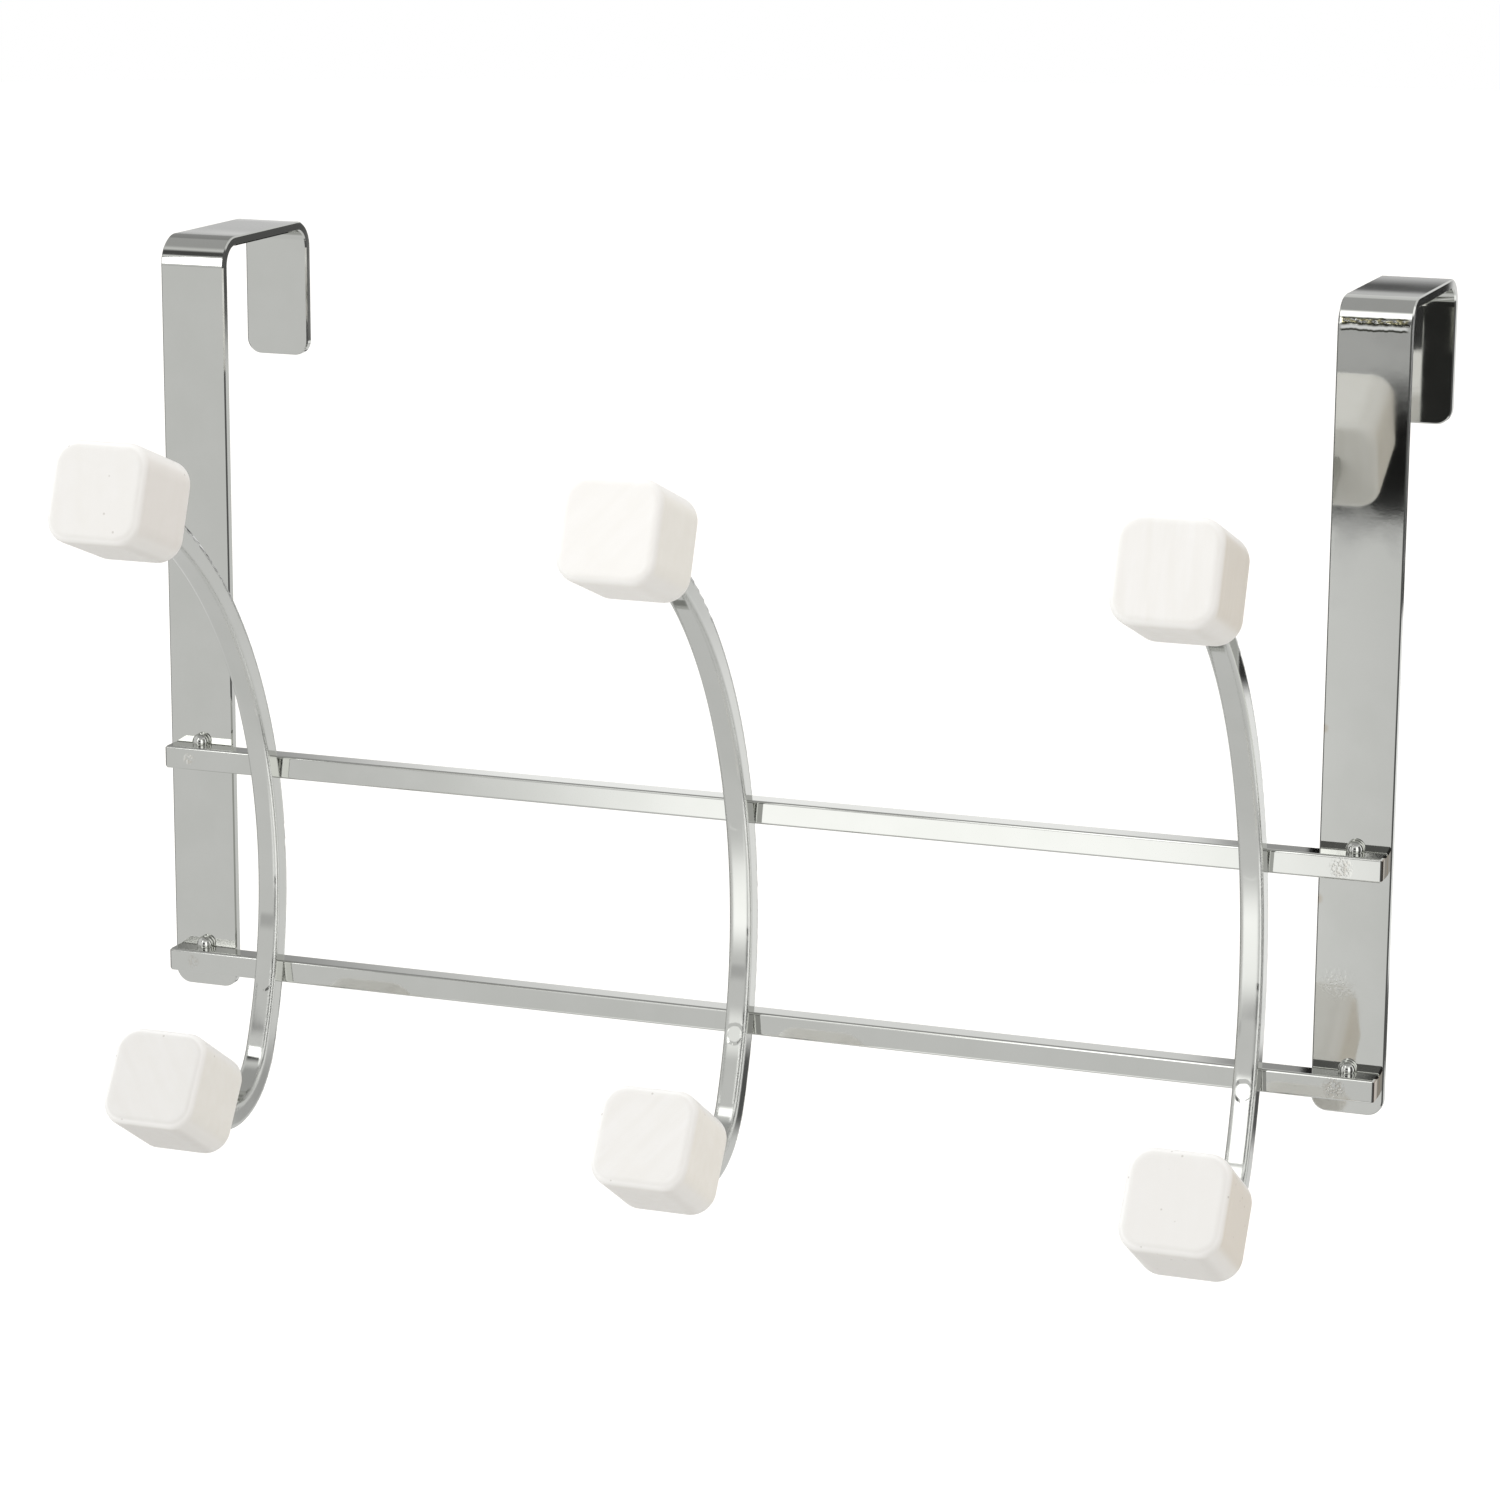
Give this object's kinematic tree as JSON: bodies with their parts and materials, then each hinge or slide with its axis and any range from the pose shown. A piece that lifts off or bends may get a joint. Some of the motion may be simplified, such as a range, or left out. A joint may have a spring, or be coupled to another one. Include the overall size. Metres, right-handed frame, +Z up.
{
  "type": "over door hook rack",
  "caption": "Chrome strap and rail rack that hangs over a door, with curved double hooks ending in white cube knobs.",
  "frame": {"origin": "midway between the straps, on the door's front face and level with the door's top edge", "axes": "+X along the rails to the right as seen from the room, +Y from the room into the door, +Z up"},
  "size_m": [0.33, 0.1521, 0.2276],
  "materials": {
    "chrome": "polished chrome plate on steel bar and strip",
    "painted_wood": "white satin paint over fine-grained wood"
  },
  "bodies": {
    "root": {"strap_left": "chrome", "strap_right": "chrome", "rail_upper": "chrome", "rail_lower": "chrome", "hook_left": "chrome", "hook_middle": "chrome", "hook_right": "chrome", "weld_ball_upper_left": "chrome", "weld_ball_upper_right": "chrome", "weld_ball_lower_left": "chrome", "weld_ball_lower_right": "chrome", "knob_upper_left": "painted_wood", "knob_upper_middle": "painted_wood", "knob_upper_right": "painted_wood", "knob_lower_left": "painted_wood", "knob_lower_middle": "painted_wood", "knob_lower_right": "painted_wood"}
  },
  "joints": []
}
